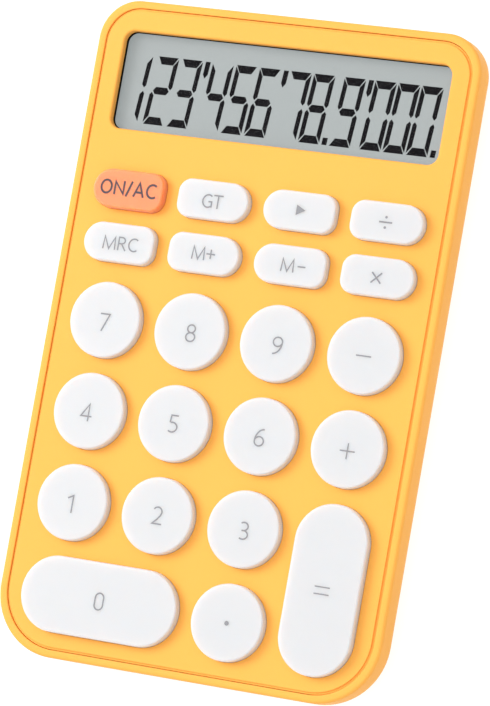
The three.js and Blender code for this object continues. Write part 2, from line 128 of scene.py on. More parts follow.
def body_form(spec):
    """Outline of the case or of the groove: tighter corners at the display end."""
    hx, hy = spec["half_x"], spec["half_y"]
    radii = (spec["bottom"], spec["bottom"], spec["top"], spec["top"])
    return lambda grow: outline(-hx, hx, -hy, hy, radii, grow, 20)


def box_form(x0, x1, y0, y1, r):
    return lambda grow: outline(x0, x1, y0, y1, (r,) * 4, grow)


def round_form(x, y, radius, sides=72):
    def form(grow):
        r = radius + grow
        turns = [2 * math.pi * i / sides for i in range(sides)]
        return [(x + r * math.cos(t), y + r * math.sin(t)) for t in turns]
    return form


def polar(centre, pairs):
    """Points round a centre from (radius, degrees) pairs."""
    cx, cy = centre
    return [(cx + r * math.cos(math.radians(a)), cy + r * math.sin(math.radians(a))) for r, a in pairs]


def rounded(g, z, dg, dz, steps, first="wall"):
    """(grow, z) pairs of a quarter round. first="wall" starts upright, "face" starts flat."""
    pairs = []
    for i in range(steps + 1):
        a = math.pi / 2 * i / steps
        if first == "wall":
            pairs.append((g + dg * (1 - math.cos(a)), z + dz * math.sin(a)))
        else:
            pairs.append((g + dg * math.sin(a), z + dz * (1 - math.cos(a))))
    return pairs


# ---------- mesh builder ----------
class Builder:
    """Closed solids from stacked rings of points and flat faces with holes."""

    def __init__(self):
        self.bm = bmesh.new()

    def ring(self, points, z):
        return [self.bm.verts.new((x, y, z)) for x, y in points]

    def skirt(self, a, b):
        count = len(a)
        for i in range(count):
            j = (i + 1) % count
            self.bm.faces.new((a[i], a[j], b[j], b[i]))

    def stack(self, form, profile, start=None):
        """Rings of form along (grow, z) pairs; start is a ring to join on to. Returns first and last."""
        rings = [start] if start else []
        rings += [self.ring(form(grow), z) for grow, z in profile]
        for a, b in zip(rings, rings[1:]):
            self.skirt(a, b)
        return rings[0], rings[-1]

    def cap(self, ring):
        self.bm.faces.new(ring)

    def fill(self, *loops):
        """A flat face bounded by the first loop, with the other loops as holes or islands."""
        edges = []
        for loop in loops:
            for i, v in enumerate(loop):
                w = loop[(i + 1) % len(loop)]
                edges.append(self.bm.edges.get((v, w)) or self.bm.edges.new((v, w)))
        bmesh.ops.triangle_fill(self.bm, use_beauty=True, use_dissolve=False, edges=edges, normal=(0, 0, 1))

    def prism(self, polygons, z0, z1):
        """The union of flat polygons, raised from z0 to z1."""
        points, faces = [], []
        for polygon in polygons:
            turn = sum(p[0] * q[1] - q[0] * p[1] for p, q in zip(polygon, polygon[1:] + polygon[:1]))
            polygon = polygon if turn > 0 else polygon[::-1]
            faces.append(list(range(len(points), len(points) + len(polygon))))
            points += [Vector(p) for p in polygon]
        found = delaunay_2d_cdt(points, [], faces, 1, 1e-5)
        low = [self.bm.verts.new((p.x, p.y, z0)) for p in found[0]]
        high = [self.bm.verts.new((p.x, p.y, z1)) for p in found[0]]
        walls = {}
        for triangle, owners in zip(found[2], found[5]):
            if not owners:
                continue
            self.bm.faces.new([low[i] for i in reversed(triangle)])
            self.bm.faces.new([high[i] for i in triangle])
            for k, i in enumerate(triangle):
                j = triangle[(k + 1) % len(triangle)]
                if (j, i) in walls:
                    del walls[(j, i)]
                else:
                    walls[(i, j)] = True
        for i, j in walls:
            self.bm.faces.new((low[i], low[j], high[j], high[i]))

    def piece(self, name, material, body, replaces=()):
        """Finishes the mesh as a named object that rides on a body."""
        bm = self.bm
        loose = [v for v in bm.verts if not v.link_faces]
        bmesh.ops.delete(bm, geom=loose, context="VERTS")
        bmesh.ops.recalc_face_normals(bm, faces=bm.faces[:])
        for face in bm.faces:
            face.smooth = True
        for edge in bm.edges:
            if len(edge.link_faces) != 2:
                raise ValueError(f"{name} isn't closed")
            edge.smooth = edge.calc_face_angle() < SHARP
        bmesh.ops.scale(bm, vec=(MM, MM, MM), verts=bm.verts[:])
        mesh = bpy.data.meshes.new(name)
        bm.to_mesh(mesh)
        bm.free()
        mesh.materials.append(material)
        obj = bpy.data.objects.new(name, mesh)
        bpy.context.scene.collection.objects.link(obj)
        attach(obj, body)
        if replaces:
            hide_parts(*replaces)
        return obj


# ---------- materials ----------
class Nodes:
    """A material's node tree with short calls."""

    def __init__(self, name):
        self.material = bpy.data.materials.new(name)
        self.material.use_nodes = True
        self.tree = self.material.node_tree
        self.shader = self.tree.nodes["Principled BSDF"]
        self.place = self.add("ShaderNodeTexCoord").outputs["Object"]

    def add(self, kind, inputs=None, **settings):
        node = self.tree.nodes.new(kind)
        for key, value in settings.items():
            setattr(node, key, value)
        for key, value in (inputs or {}).items():
            self.set(node.inputs[key], value)
        return node

    def set(self, socket, value):
        if isinstance(value, bpy.types.NodeSocket):
            self.tree.links.new(value, socket)
        else:
            socket.default_value = value

    def noise(self, size_mm, detail=3.0, roughness=0.55, stretch=(1, 1, 1)):
        """Noise whose features are about size_mm across."""
        place = self.place
        if stretch != (1, 1, 1):
            place = self.add("ShaderNodeMapping", {"Vector": place, "Scale": stretch}).outputs[0]
        inputs = {"Vector": place, "Scale": 1 / (size_mm * MM), "Detail": detail, "Roughness": roughness}
        return self.add("ShaderNodeTexNoise", inputs).outputs["Fac"]

    def span(self, value, low, high, source=(0.3, 0.7)):
        """A value between the two of source, spread from low to high."""
        inputs = {
            "Value": value, "From Min": source[0], "From Max": source[1], "To Min": low, "To Max": high,
        }
        return self.add("ShaderNodeMapRange", inputs).outputs["Result"]

    def blend(self, factor, a, b):
        node = self.add("ShaderNodeMix", data_type="RGBA")
        self.set(node.inputs["Factor"], factor)
        self.set(node.inputs["A"], a)
        self.set(node.inputs["B"], b)
        return node.outputs["Result"]

    def bump(self, *layers):
        """Layers of (height, strength, depth in mm), laid over each other."""
        normal = None
        for height, strength, depth in layers:
            inputs = {"Height": height, "Strength": strength, "Distance": depth * MM}
            if normal:
                inputs["Normal"] = normal
            normal = self.add("ShaderNodeBump", inputs).outputs["Normal"]
        self.set(self.shader.inputs["Normal"], normal)

    def finish(self, **sockets):
        for key, value in sockets.items():
            self.set(self.shader.inputs[key.replace("_", " ")], value)
        return self.material


def srgb(r, g, b):
    """A colour from 0 to 255 as the eye reads it, in linear light."""
    def linear(v):
        v /= 255
        return v / 12.92 if v <= 0.04045 else ((v + 0.055) / 1.055) ** 2.4
    return (linear(r), linear(g), linear(b), 1.0)


def shade(colour, factor):
    return (colour[0] * factor, colour[1] * factor, colour[2] * factor, colour[3])


def plastic(
    name, colour, rough, grain_mm=0.22, grain=0.16, tone=0.03,
    soft=0.0, soft_radius=(1, 1, 1), shine=0.5, bloom=0.0
):
    """Moulded plastic: a fine spark-eroded grain, faint flow tone and slightly uneven gloss.

    soft is the share of light that scatters inside, over soft_radius in mm for red, green and blue.
    bloom is the sheen at grazing angles.
    """
    n = Nodes(name)
    flow = n.noise(28, 4.0)
    speck = n.noise(0.9, 2.0)
    toned = n.blend(n.span(flow, 0, 1), shade(colour, 1 - tone), colour)
    toned = n.blend(n.span(speck, 0, 0.35, (0.35, 0.75)), toned, shade(colour, 1 - 1.5 * tone))
    gloss = n.span(n.noise(6, 5.0), rough - 0.05, rough + 0.06)
    n.bump(
        (n.noise(grain_mm, 4.0, 0.6), grain, 0.02),
        (n.noise(9, 2.0), 0.12, 0.05),
    )
    n.finish(Base_Color=toned, Roughness=gloss, IOR=1.46, Specular_IOR_Level=shine)
    if bloom:
        n.finish(Sheen_Weight=bloom, Sheen_Roughness=0.5, Sheen_Tint=(1, 0.91, 0.82, 1))
    if soft:
        n.finish(Subsurface_Weight=soft, Subsurface_Radius=soft_radius, Subsurface_Scale=MM)
    return n.material


def ink(name, colour):
    """Pad-printed ink: slightly uneven coverage and a duller surface than the cap."""
    n = Nodes(name)
    cover = n.span(n.noise(0.35, 3.0), 0, 1)
    toned = n.blend(cover, colour, shade(colour, 1.12))
    n.bump((n.noise(0.12, 2.0), 0.15, 0.01))
    return n.finish(Base_Color=toned, Roughness=n.span(n.noise(0.5), 0.5, 0.66))


def metal(name, colour, rough, stretch=(1, 1, 1)):
    """Bare metal with a fine grain, which stretch draws out along an axis, and uneven gloss."""
    n = Nodes(name)
    streak = n.noise(0.4, 5.0, 0.6, stretch)
    toned = n.blend(n.span(streak, 0, 1), shade(colour, 0.85), colour)
    n.bump((streak, 0.2, 0.02))
    gloss = n.span(n.noise(2.5, 4.0), rough - 0.07, rough + 0.12)
    return n.finish(Base_Color=toned, Metallic=1.0, Roughness=gloss)


def rubber(name, colour, rough, grain_mm, grain=0.4, shine=0.4):
    """Rubber, silicone or foam: a matt grain with paler dust in it."""
    n = Nodes(name)
    dust = n.span(n.noise(3, 6.0), 0, 1, (0.45, 0.8))
    toned = n.blend(dust, colour, shade(colour, 1.6))
    n.bump((n.noise(grain_mm, 5.0, 0.65), grain, 0.05))
    gloss = n.span(n.noise(1.2), rough - 0.08, rough + 0.1)
    return n.finish(Base_Color=toned, Roughness=gloss, Specular_IOR_Level=shine)


def circuit_material():
    """Green solder mask with faint runs of copper under it."""
    n = Nodes("board_mask")
    brick = n.add(
        "ShaderNodeTexBrick",
        {"Vector": n.place, "Scale": 1 / (4.2 * MM), "Mortar Size": 0.06, "Mortar Smooth": 0.2},
    ).outputs["Fac"]
    weave = n.noise(0.6, 2.0, 0.5, (1, 4, 1))
    mask = n.blend(n.span(weave, 0, 1), (0.018, 0.12, 0.045, 1), (0.025, 0.16, 0.06, 1))
    toned = n.blend(brick, mask, (0.05, 0.27, 0.1, 1))
    n.bump((brick, 0.4, 0.03), (weave, 0.1, 0.02))
    return n.finish(Base_Color=toned, Roughness=n.span(n.noise(2), 0.3, 0.42), Coat_Weight=0.3)


def display_material():
    """Reflective display glass: a grey polariser with a fine sparkle."""
    n = Nodes("display_polariser")
    drift = n.span(n.noise(30, 2.0), 0, 1)
    sparkle = n.span(n.noise(0.12, 2.0), 0, 0.3, (0.45, 0.75))
    toned = n.blend(drift, shade(LCD_GREY, LCD_LIT), shade(LCD_GREY, LCD_LIT * 0.95))
    toned = n.blend(sparkle, toned, shade(LCD_GREY, LCD_LIT * 1.12))
    n.bump((n.noise(0.15, 2.0), 0.05, 0.01))
    # painted light: the grey glows evenly, which fills in the shade that the window's walls cast on the
    # display
    n.finish(Emission_Color=LCD_GREY, Emission_Strength=LCD_GLOW)
    return n.finish(Base_Color=toned, Roughness=n.span(n.noise(5), 0.42, 0.5), IOR=1.4)


def segment_material():
    """Darkened liquid crystal: near black with a slight violet cast."""
    n = Nodes("display_segments")
    cloud = n.span(n.noise(2.2, 3.0), 0, 1)
    toned = n.blend(cloud, (0.0015, 0.001, 0.002, 1), (0.004, 0.003, 0.005, 1))
    n.bump((n.noise(0.2), 0.03, 0.01))
    return n.finish(Base_Color=toned, Roughness=n.span(n.noise(1.0), 0.5, 0.6), Specular_IOR_Level=0.03)


def lens_material():
    """Clear acrylic with a trace of handling haze in its gloss."""
    n = Nodes("lens_acrylic")
    smear = n.noise(7, 5.0, 0.6, (1, 2.5, 1))
    toned = n.blend(n.span(smear, 0, 1), (0.02, 0.022, 0.024, 1), (0.05, 0.052, 0.052, 1))
    n.bump((n.noise(18, 2.0), 0.05, 0.03))
    n.finish(Base_Color=toned, Roughness=n.span(smear, 0.04, 0.16), Alpha=LENS_ALPHA, IOR=1.49)
    n.material.surface_render_method = "BLENDED"
    return n.material


LCD_GREY = srgb(177, 184, 184)
LCD_LIT, LCD_GLOW = 0.28, 0.68     # shares of the display's grey: lit by the room, and an even glow
LENS_ALPHA = 0.05
YELLOW = (0.96, 0.449, 0.086, 1)
ORANGE = (0.99, 0.27, 0.095, 1)
M = {
    "shell": plastic("shell_plastic", YELLOW, 0.45, soft=0.1, soft_radius=(0.5, 0.35, 0.1), shine=0.12),
    "white_cap": plastic(
        "white_cap_plastic", srgb(206, 207, 209), 0.4, grain=0.1, tone=0.012,
        soft=0.8, soft_radius=(4.4, 3.3, 2.7), bloom=1.0
    ),
    "orange_cap": plastic(
        "orange_cap_plastic", ORANGE, 0.4, grain=0.1, tone=0.02,
        soft=1.0, soft_radius=(4.4, 2.2, 1.0), bloom=0.35
    ),
    "grey_ink": ink("legend_grey_ink", srgb(132, 132, 136)),
    "dark_ink": ink("legend_dark_ink", srgb(68, 50, 56)),
    "foam": rubber("gasket_foam", (0.004, 0.003, 0.0025, 1), 0.9, 0.25, 0.7, shine=0.08),
    "lens": lens_material(),
    "lcd": display_material(),
    "segments": segment_material(),
    "carrier": plastic("carrier_plastic", srgb(225, 222, 212), 0.5, 0.3),
    "zebra": rubber("contact_elastomer", srgb(196, 140, 132), 0.7, 0.2),
    "silicone": rubber("keypad_silicone", srgb(200, 203, 200), 0.72, 0.25, 0.25),
    "board": circuit_material(),
    "resin": plastic("potting_resin", (0.01, 0.01, 0.012, 1), 0.35, 1.2, 0.3, 0.2),
    "ceramic": plastic("ceramic_body", srgb(165, 135, 96), 0.5, 0.15, 0.2, 0.08),
    "steel": metal("zinc_screw", (0.55, 0.56, 0.58, 1), 0.32),
    "cell": metal("cell_nickel", (0.66, 0.67, 0.68, 1), 0.26, (1, 5, 1)),
    "spring": metal("contact_bronze", (0.7, 0.6, 0.4, 1), 0.3, (5, 1, 1)),
    "rubber": rubber("foot_rubber_grain", (0.03, 0.03, 0.032, 1), 0.82, 0.35, 0.5),
    "red_wire": plastic("red_insulation_pvc", (0.5, 0.02, 0.02, 1), 0.4, 0.3, 0.15, 0.1),
    "black_wire": plastic("black_insulation_pvc", (0.01, 0.01, 0.011, 1), 0.4, 0.3, 0.15, 0.2),
}

# CAD nodes that keep their own shape
KEPT = {
    "display_lens": "lens",
    "lcd_panel": "lcd",
    "lcd_carrier": "carrier",
    "contact_strip": "zebra",
    "circuit_board": "board",
    "chip_blob": "resin",
    "filter_capacitor": "ceramic",
    "clock_resistor": "resin",
    "coin_cell": "cell",
    "positive_contact": "spring",
    "negative_contact": "spring",
    "red_lead": "red_wire",
    "black_lead": "black_wire",
    **{f"board_screw_{i + 1}": "steel" for i in range(4)},
}
for node, finish in KEPT.items():
    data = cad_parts[node].data
    data.materials.clear()
    data.materials.append(M[finish])


# ---------- housing ----------
def door_opening(grow):
    """The through hole for the battery door: a disc with two slots for its tabs."""
    inner, outer, half = 11.8 + grow, 13.3 + grow, 14.5
    pairs = []
    for middle in (DOOR_TURN, DOOR_TURN + 180):
        low, high = middle - half, middle + half
        pairs += [(outer, low + 2 * half * i / 10) for i in range(11)]
        pairs += [(inner, high + (180 - 2 * half) * i / 40) for i in range(41)]
    return polar(CELL, pairs)


def well_outline():
    """The wall round the coin cell, open towards the leads."""
    spread = [-19 + 218 * i / 60 for i in range(61)]
    return polar(CELL, [(WELL_OUTER, a) for a in spread] + [(WELL_INNER, a) for a in reversed(spread)])


def rear_case():
    b = Builder()
    tuck, rise, fillet, z_ledge = 4.5, 6.0, 0.6, Z_PLATE - 0.05
    lower = rounded(-tuck, Z_BOTTOM, tuck, rise, 14, "face")
    upper = rounded(0, Z_FACE - RIM_EDGE, -RIM_EDGE, RIM_EDGE, 8)
    bottom, top = b.stack(body_form(CASE), [(-tuck - SUPPORT, Z_BOTTOM), *lower, *upper])
    inner = rounded(SEAM + RIM_INNER_EDGE, Z_FACE, -RIM_INNER_EDGE, -RIM_INNER_EDGE, 4, "face")
    ledge = [(SEAM, z_ledge), (-LEDGE, z_ledge), (-LEDGE, Z_FLOOR + fillet)]
    floor_round = rounded(-LEDGE, Z_FLOOR + fillet, -fillet, -fillet, 4)[1:]
    _, floor = b.stack(body_form(GROOVE), [*inner, *ledge, *floor_round], start=top)
    below, above = [bottom], [floor]
    for x, y in FEET:
        hole = round_form(x, y, FOOT_RADIUS + FOOT_ROOM)
        rim, blind = b.stack(hole, [(0.12, Z_BOTTOM), (0, Z_BOTTOM + 0.12), (0, Z_BOTTOM + 0.45)])
        b.cap(blind)
        below.append(rim)
    for x, y in CASE_SCREWS:
        form = round_form(x, y, 0, 48)
        # counterbore, clearance hole, then the top, side and foot of the pillar round it
        low, high = b.stack(form, [
            (2.4, Z_BOTTOM), (2.2, Z_BOTTOM + 0.2), (2.2, 2.6), (1.15, 2.6), (1.15, 3.9),
            (2.8, 3.9), (3.0, 3.7), (3.0, Z_FLOOR + 0.3), (3.3, Z_FLOOR),
        ])
        below.append(low)
        above.append(high)
    recess = round_form(*CELL, DOOR_FLANGE + 0.3, 102)
    rim, seat = b.stack(recess, [(0.25, Z_BOTTOM), (0, Z_BOTTOM + 0.25), (0, DOOR_SEAT)])
    low, high = b.stack(door_opening, [(0, DOOR_SEAT), (0, Z_FLOOR)])
    below.append(rim)
    b.fill(seat, low)
    well = well_outline()
    low_wall = b.ring(well, Z_FLOOR)
    high_wall = b.ring(well, WELL_TOP)
    b.skirt(low_wall, high_wall)
    b.fill(high_wall)
    above += [high, low_wall]
    b.fill(*below)
    b.fill(*above)
    b.piece("rear_case_shell", M["shell"], "housing", ["rear_case"])


# ---------- keys ----------
def pill_form(x, y, round_left, grow_by):
    left, right = (PILL["round"], PILL["corner"]) if round_left else (PILL["corner"], PILL["round"])
    hx, hy = PILL["half_x"], PILL["half_y"]
    return lambda grow: outline(
        x - hx, x + hx, y - hy, y + hy, (left, right, right, left), grow + grow_by
    )


def long_form(x, y, half_x, half_y, grow_by):
    return lambda grow: outline(
        x - half_x, x + half_x, y - half_y, y + half_y, (KEY_RADIUS,) * 4, grow + grow_by, 24
    )


def key_centre(node):
    """The middle of a key, in millimetres."""
    low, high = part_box(node)
    return (low.x + high.x) / 2 / MM, (low.y + high.y) / 2 / MM


def key_size(node):
    """Half the width and half the height of a key's cap, without its hidden flange."""
    low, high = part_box(node)
    return (high.x - low.x) / 2 / MM - KEY_FLANGE, (high.y - low.y) / 2 / MM - KEY_FLANGE


def key_form(node, grow_by=0.0):
    """The outline of a key's cap: a pill, a long key or a disc, told apart by its size."""
    x, y = key_centre(node)
    hx, hy = key_size(node)
    if hy < KEY_RADIUS - 1:
        return pill_form(x, y, node in PILLS_ROUND_LEFT, grow_by)
    if max(hx, hy) > KEY_RADIUS + 1:
        return long_form(x, y, hx, hy, grow_by)
    return round_form(x, y, KEY_RADIUS + grow_by, 96)


def cap_slot(node):
    return "orange_cap" if node == "key_on_clear" else "white_cap"


def short(node):
    return node.removeprefix("key_")


def key_cap(node):
    b = Builder()
    upper = CAP_GROW - CAP_DRAFT
    low, high = b.stack(key_form(node), [
        (KEY_FLANGE - CHAMFER, KEY_UNDERSIDE),
        (KEY_FLANGE, KEY_UNDERSIDE + CHAMFER),
        (KEY_FLANGE, KEY_FLANGE_TOP),
        (CHAMFER, KEY_FLANGE_TOP),
        (CAP_GROW, KEY_FLANGE_TOP + CHAMFER),
        *rounded(upper, Z_CAP - CAP_EDGE, -CAP_EDGE, CAP_EDGE, 9),
        (upper - CAP_EDGE - SUPPORT, Z_CAP),
    ])
    b.cap(low)
    b.cap(high)
    slot = cap_slot(node)
    b.piece(f"cap_{short(node)}", M[slot], node, [node])


# ---------- face plate ----------
def face_skin():
    """The face plate: a stepped edge that leaves the channel, rounded holes, and the screw bosses below."""
    b = Builder()
    step, z_channel, soft = -SEAM - CHANNEL_STEP, Z_FACE - CHANNEL_DEPTH, 0.05
    profile = [
        (-SEAM - 2 * CHAMFER, Z_PLATE), (-SEAM, Z_PLATE + 2 * CHAMFER),
        *rounded(-SEAM, z_channel - soft, -soft, soft, 3),
        (step + 0.06, z_channel), (step, z_channel + 0.06),
        *rounded(step, Z_FACE - PLATE_EDGE, -PLATE_EDGE, PLATE_EDGE, 7),
        (step - PLATE_EDGE - SUPPORT, Z_FACE),
    ]
    low, high = b.stack(body_form(GROOVE), profile)
    below, above = [low], [high]
    x0, _, *rest = WINDOW
    window = box_form(x0, WINDOW_RIGHT, *rest)
    holes = [(window, WINDOW_EDGE)] + [(key_form(k, KEY_GAP), HOLE_EDGE) for k in KEYS]
    for form, edge in holes:
        low, high = b.stack(form, [
            (0.1, Z_PLATE), (0, Z_PLATE + 0.1),
            *rounded(0, Z_FACE - edge, edge, edge, 6), (edge + 0.1, Z_FACE),
        ])
        below.append(low)
        above.append(high)
    for place, stud in [(p, BOSS) for p in CASE_SCREWS] + [(p, POST) for p in BOARD_SCREWS]:
        radius, z0, bore = stud["radius"], stud["z0"], stud["bore"]
        low, blind = b.stack(round_form(*place, 0, 40), [
            (radius + CHAMFER, Z_PLATE), (radius, Z_PLATE - CHAMFER),
            (radius, z0 + 0.1), (radius - 0.1, z0),
            (bore, z0), (bore, PILOT_TOP),
        ])
        b.cap(blind)
        below.append(low)
    b.fill(*below)
    b.fill(*above)
    b.piece("face_skin", M["shell"], "housing", ["face_plate"])


def gasket_with_shade_lip():
    """Foam frame on the lens, with a thin black lip up the wall of the window; the frame is a real part,
    the lip is painted shade, a dark strip for the shaded gap between wall and lens.
    """
    b = Builder()
    z_shade_lip = 9.3
    first, last = b.stack(box_form(*GASKET), [(0, GASKET_Z0), (0, GASKET_Z1)])
    # the lip: black foam up the window wall as painted shade for the gap between wall and lens
    _, end = b.stack(box_form(*WINDOW), [
        (-0.02, GASKET_Z1), (-0.02, z_shade_lip - 0.04), (-0.05, z_shade_lip),
        (-0.11, z_shade_lip), (-0.14, z_shade_lip - 0.04), (-0.14, GASKET_Z0),
    ], start=last)
    b.skirt(end, first)
    b.piece("gasket_with_shade_lip", M["foam"], "housing", ["display_gasket"])


# ---------- display digits ----------
# The segments are drawn for a figure 15.25 high; tall raises that to 15.5. x, y is the lower left corner.
# The cells stand pitch apart and close up a little to the right; mark is the room that a mark takes.
DIGIT = dict(
    height=15.25, tall=1.0164, slant=0.079, pitch=5.99, closing=0.0205, mark=1.748, x=-38.15, y=47.4
)
DIGIT_Z0, DIGIT_Z1 = 7.58, 7.63
ONE_SHIFT = -0.55                 # the figure 1 stands left of the middle of its cell
SEGMENTS = {
    "a": [(0.02, 15.35), (4.88, 15.35), (3.9, 13.6), (1.04, 13.6)],
    "b": [(5.08, 15.05), (5.08, 8.6), (4.66, 8.0), (4.02, 8.72), (4.02, 13.45)],
    "c": [(5.08, 0.3), (4.02, 1.85), (4.02, 6.5), (4.66, 7.24), (5.08, 6.65)],
    "d": [(0.12, -0.08), (1.14, 1.67), (3.98, 1.67), (4.98, -0.08)],
    "e": [(-0.08, 0.3), (-0.08, 6.65), (0.34, 7.24), (0.98, 6.5), (0.98, 1.85)],
    "f": [(-0.08, 15.05), (0.98, 13.45), (0.98, 8.72), (0.34, 8.0), (-0.08, 8.6)],
    "g": [(0.54, 7.62), (1.12, 8.45), (3.88, 8.45), (4.46, 7.62), (3.88, 6.79), (1.12, 6.79)],
    "tick": [(5.78, 15.3), (6.95, 15.3), (6.95, 12.4), (6.33, 11.5), (5.78, 12.4)],
    "point": [(5.7, -0.05), (6.9, -0.05), (6.9, 1.55), (5.7, 1.55)],
}
SHAPES = {
    "0": "abcdef", "1": "bc", "2": "abged", "3": "abgcd", "4": "fgbc",
    "5": "afgcd", "6": "afgedc", "7": "abc", "8": "abcdefg", "9": "abcdfg",
}
MARKS = {"'": "tick", ".": "point"}
READOUT = "123'456'78.9'000."


def readout():
    """The figures on the display; a mark belongs to the cell of the figure before it."""
    b = Builder()
    cell = marks = 0
    for c in READOUT:
        if c in SHAPES:
            x = DIGIT["x"] + DIGIT["pitch"] * cell - DIGIT["closing"] * cell * cell + DIGIT["mark"] * marks
            x += ONE_SHIFT if c == "1" else 0
            cell += 1
        for name in SHAPES.get(c) or [MARKS[c]]:
            b.prism([[
                (x + u - DIGIT["slant"] * (DIGIT["height"] - v), DIGIT["y"] + v * DIGIT["tall"])
                for u, v in SEGMENTS[name]
            ]], DIGIT_Z0, DIGIT_Z1)
        marks += c in MARKS
    b.piece("display_digits", M["segments"], "housing")


# ---------- legends ----------
def arc(cx, cy, rx, ry, start, end, steps=22):
    """Points of an elliptical arc, in degrees."""
    turns = [math.radians(start + (end - start) * i / steps) for i in range(steps + 1)]
    return [(cx + rx * math.cos(t), cy + ry * math.sin(t)) for t in turns]


def oval(cx, cy, rx, ry):
    points = arc(cx, cy, rx, ry, 0, 360, 44)
    return points[:-1] + [points[0]]


def ribbon(points, width):
    """Quads along a polyline, with mitred joints and square ends. A repeated first point closes it."""
    closed = math.dist(points[0], points[-1]) < 1e-6
    if closed:
        points = points[:-1]
    count, half = len(points), width / 2
    sides = []
    for i, (x, y) in enumerate(points):
        before = points[i - 1] if i or closed else None
        after = points[(i + 1) % count] if i < count - 1 or closed else None
        ways = []
        for p, q in ((before, (x, y)), ((x, y), after)):
            if p and q:
                size = math.dist(p, q)
                ways.append(((q[0] - p[0]) / size, (q[1] - p[1]) / size))
        normals = [(-dy, dx) for dx, dy in ways]
        nx = sum(n[0] for n in normals)
        ny = sum(n[1] for n in normals)
        size = math.hypot(nx, ny)
        nx, ny = nx / size, ny / size
        reach = half / max(nx * normals[0][0] + ny * normals[0][1], 0.45)
        sides.append(((x + nx * reach, y + ny * reach), (x - nx * reach, y - ny * reach)))
    last = count if closed else count - 1
    quads = []
    for i in range(last):
        (a, b), (c, d) = sides[i], sides[(i + 1) % count]
        quads.append([b, d, c, a])
    return quads


# Each glyph: its width over its height, and its strokes in a box 1 high, from (0, 0) at the lower left.
def glyphs():
    return {
        "0": (0.60, [arc(0.30, 0.69, 0.25, 0.265, 0, 180) + arc(0.30, 0.31, 0.25, 0.265, 180, 360)
                     + [(0.55, 0.69)]]),
        "1": (0.42, [[(0.02, 0.80), (0.34, 0.965), (0.34, 0.0)]]),
        "2": (0.60, [arc(0.27, 0.70, 0.26, 0.255, 150, -12, 18)
                     + [(0.46, 0.50), (0.30, 0.30), (0.04, 0.045), (0.60, 0.045)]]),
        "3": (0.57, [arc(0.24, 0.735, 0.25, 0.22, 132, -90, 18) + [(0.14, 0.515)],
                     [(0.14, 0.515), (0.24, 0.515)] + arc(0.24, 0.28, 0.285, 0.235, 90, -128, 20)]),
        "4": (0.70, [[(0.70, 0.27), (0.05, 0.27), (0.50, 0.95), (0.50, 0.0)]]),
        "5": (0.57, [[(0.52, 0.955), (0.11, 0.955), (0.08, 0.57)]
                     + arc(0.22, 0.31, 0.30, 0.265, 112, -130, 22)]),
        "6": (0.62, [arc(0.56, 0.30, 0.51, 0.655, 92, 178, 18), oval(0.315, 0.295, 0.265, 0.25)]),
        "7": (0.60, [[(0.0, 0.955), (0.56, 0.955), (0.18, 0.0)]]),
        "8": (0.62, [oval(0.31, 0.74, 0.225, 0.215), oval(0.31, 0.285, 0.265, 0.24)]),
        "9": (0.62, [arc(0.06, 0.70, 0.51, 0.655, -88, -2, 18), oval(0.305, 0.705, 0.265, 0.25)]),
        "A": (0.80, [[(0.03, 0.0), (0.40, 0.97), (0.77, 0.0)], [(0.15, 0.32), (0.65, 0.32)]]),
        "C": (0.72, [arc(0.47, 0.5, 0.415, 0.455, 52, 308, 34)]),
        "G": (0.84, [arc(0.47, 0.5, 0.415, 0.455, 50, 300, 34)
                     + [(0.76, 0.10), (0.76, 0.46), (0.50, 0.46)]]),
        "M": (1.06, [[(0.06, 0.0), (0.11, 0.93), (0.53, 0.04), (0.95, 0.93), (1.0, 0.0)]]),
        "N": (0.78, [[(0.06, 0.0), (0.06, 0.90), (0.72, 0.10), (0.72, 1.0)]]),
        "O": (0.88, [oval(0.44, 0.5, 0.385, 0.45)]),
        "R": (0.70, [[(0.06, 0.0), (0.06, 0.955), (0.30, 0.955)] + arc(0.30, 0.725, 0.26, 0.23, 88, -88, 14)
                     + [(0.06, 0.495)], [(0.30, 0.495), (0.66, 0.0)]]),
        "T": (0.74, [[(0.0, 0.955), (0.74, 0.955)], [(0.37, 0.955), (0.37, 0.0)]]),
        "/": (0.40, [[(0.02, -0.05), (0.38, 1.03)]]),
    }


def word(text, height, x, y, gap):
    """Strokes of a word centred on x, y, in millimetres."""
    table = glyphs()
    widths = [table[c][0] * height for c in text]
    left = x - (sum(widths) + gap * (len(text) - 1)) / 2
    letters = []
    for c, width in zip(text, widths):
        letters.append([
            [(left + px * height, y + (py - 0.5) * height) for px, py in stroke] for stroke in table[c][1]
        ])
        left += width + gap
    return letters


# Signs are centred on x, y, from the middle of their key.
def bar(x, y, length):
    return [[(x - length / 2, y), (x + length / 2, y)]]


def cross(x, y, size, turned=False):
    h = size / 2
    if turned:
        return [[(x - h, y - h), (x + h, y + h)], [(x - h, y + h), (x + h, y - h)]]
    return [[(x - h, y), (x + h, y)], [(x, y - h), (x, y + h)]]


def disc(x, y, radius):
    return round_form(x, y, radius, 28)(0)


THIN, BOLD = 0.33, 0.47           # widths of the strokes
FIGURE_HEIGHT, LETTER_HEIGHT = 4.08, 3.1
# where each figure is printed, from the middle of its key
FIGURE_SHIFTS = {
    "0": (0.37, -0.12), "1": (-0.3, -0.43), "2": (0.25, 0.0), "3": (0.37, -0.36), "4": (-0.37, -0.36),
    "5": (0.17, -0.13), "6": (0.13, -0.33), "7": (0.1, -0.62), "8": (0.47, -0.39), "9": (0.58, -0.47),
}


def legend(node, letters=(), polygons=(), width=THIN, finish="grey_ink"):
    """Printed legend of a key: letters are lists of strokes, polygons are filled shapes."""
    x, y = key_centre(node)
    b = Builder()
    for strokes in letters:
        quads = [quad for stroke in strokes for quad in ribbon(stroke, width)]
        b.prism([[(x + px, y + py) for px, py in quad] for quad in quads], Z_CAP - INK_SUNK, Z_INK)
    for polygon in polygons:
        b.prism([[(x + px, y + py) for px, py in polygon]], Z_CAP - INK_SUNK, Z_INK)
    b.piece(f"legend_{short(node)}", M[finish], node)


